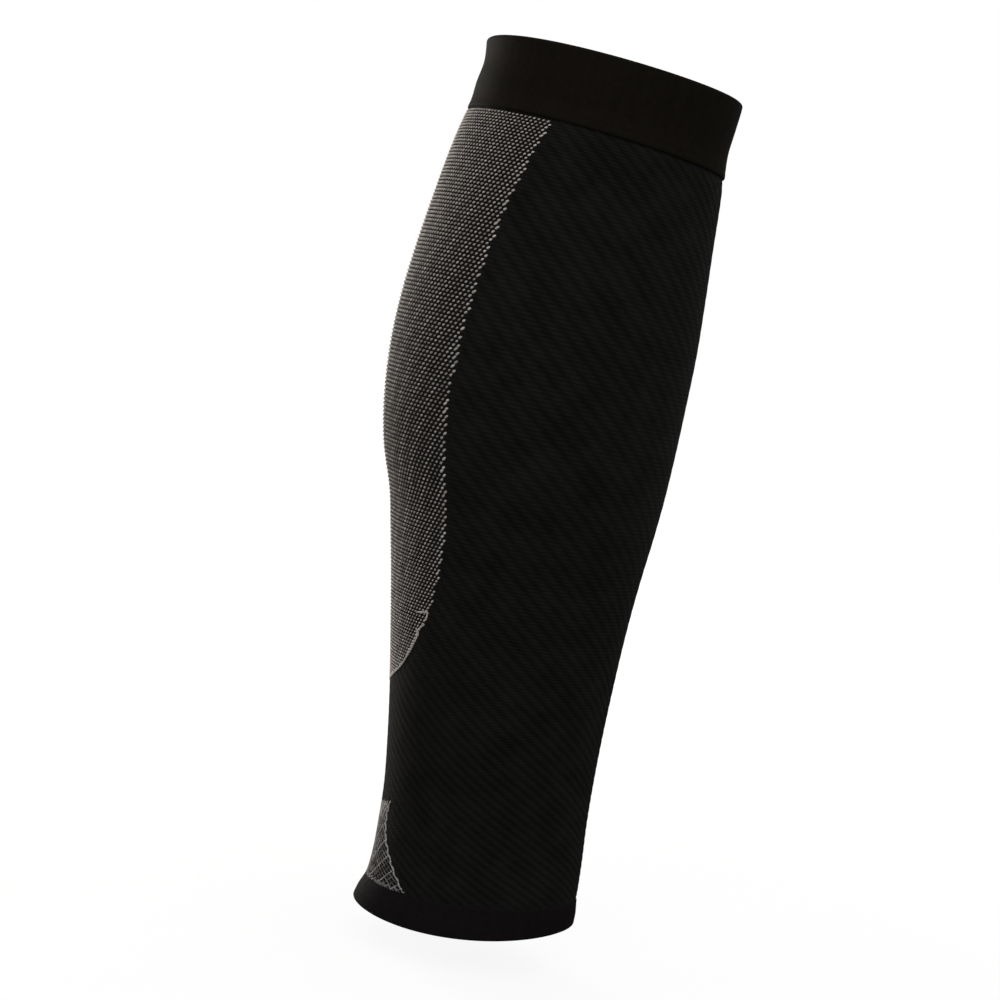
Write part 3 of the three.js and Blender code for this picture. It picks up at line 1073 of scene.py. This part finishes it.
def area_light(name, place, size, watts, colour):
    """A round soft light that faces the sleeve."""
    data = bpy.data.lights.new(name, "AREA")
    data.shape = "DISK"
    data.size = size
    data.energy = watts
    data.color = colour
    light = bpy.data.objects.new(name, data)
    away = np.array(place) / np.linalg.norm(place)
    side = np.cross([0, 0, 1], away)
    side /= np.linalg.norm(side)
    light.matrix_world = placed(side, np.cross(away, side), away, place)
    bpy.context.scene.collection.objects.link(light)


def build_light():
    """One strong light from behind on the left, and little else. The camera sees a white world
    that lights the sleeve only dimly."""
    for light in LIGHTS:
        area_light(*light)
    world = bpy.data.worlds.new("world")
    world.use_nodes = True
    tree = world.node_tree
    background = tree.nodes["Background"]
    background.inputs["Color"].default_value = (1, 1, 1, 1)
    path = tree.nodes.new("ShaderNodeLightPath")
    strength = Nodes(tree).ramp(path.outputs["Is Camera Ray"], 0, 1, WORLD_LIGHT, 1.0)
    tree.links.new(strength, background.inputs["Strength"])
    bpy.context.scene.world = world
    bpy.context.scene.view_settings.view_transform = "Standard"


def build_floor():
    """A plain pale floor. It glows for the camera alone, fully far out, so it has no horizon."""
    material, tree, shader = new_material("floor_white")
    nodes = Nodes(tree)
    place = tree.nodes.new("ShaderNodeTexCoord")
    length = tree.nodes.new("ShaderNodeVectorMath")
    length.operation = "LENGTH"
    tree.links.new(place.outputs["Object"], length.inputs[0])
    path = tree.nodes.new("ShaderNodeLightPath")
    glow = nodes.ramp(length.outputs["Value"], 0.3, 1.2, FLOOR_GLOW, 1.0)
    glow = nodes.calc("MULTIPLY", glow, path.outputs["Is Camera Ray"])
    shader.inputs["Base Color"].default_value = (0.15, 0.15, 0.15, 1)
    shader.inputs["Roughness"].default_value = 1
    shader.inputs["Specular IOR Level"].default_value = 0
    shader.inputs["Emission Color"].default_value = (1, 1, 1, 1)
    tree.links.new(glow, shader.inputs["Emission Strength"])
    sides = 96
    turns = 2 * math.pi * np.arange(sides) / sides
    rim = np.stack([np.cos(turns), np.sin(turns), np.zeros(sides)], 1) * FLOOR_RADIUS
    floor = make_piece("floor", rim, [tuple(range(sides))], material)
    floor.location.z = FLOOR_HEIGHT


# The scene

build_camera()
build_light()
build_floor()

body_finish = body_material()
calf_ground = ground_material("calf_ground")
heel_ground = ground_material("heel_ground")
calf_yarn = yarn_material("calf_yarn")
heel_yarn = yarn_material("heel_yarn")
cuff_finish = band_material("cuff_knit", CUFF_TRELLIS_MM)
hem_finish = band_material("hem_knit", 0)

in_calf, in_heel = panel_blocks()
body = wall_mesh("leg_body", ~(in_calf | in_heel), body_offset, -KNIT_THICKNESS, body_finish)
calf = wall_mesh("calf_panel_cloth", in_calf, body_offset, -KNIT_THICKNESS, calf_ground)
heel = wall_mesh("heel_panel_cloth", in_heel, body_offset, -KNIT_THICKNESS, heel_ground)
calf_dots = calf_stitches(calf_yarn)
calf_edge = calf_edge_threads(calf_yarn)
heel_lattice = heel_threads(heel_yarn)
cuff = ring_mesh("top_cuff_band", BAND_COLUMNS, cuff_outline, cuff_finish)
hem = ring_mesh("bottom_hem_band", BAND_COLUMNS, hem_outline, hem_finish)

for piece, slot in (
    (body, "body_knit"),
    (calf, "calf_panel_knit"),
    (calf_dots, "calf_panel_knit"),
    (calf_edge, "calf_panel_knit"),
    (heel, "heel_panel_knit"),
    (heel_lattice, "heel_panel_knit"),
    (cuff, "cuff_knit"),
    (hem, "hem_knit"),
):
    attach(piece, "root")
for piece, node in (
    (body, "leg_tube"),
    (calf, "calf_panel"),
    (heel, "heel_panel"),
    (cuff, "top_cuff"),
    (hem, "bottom_cuff"),
):
    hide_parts(node)
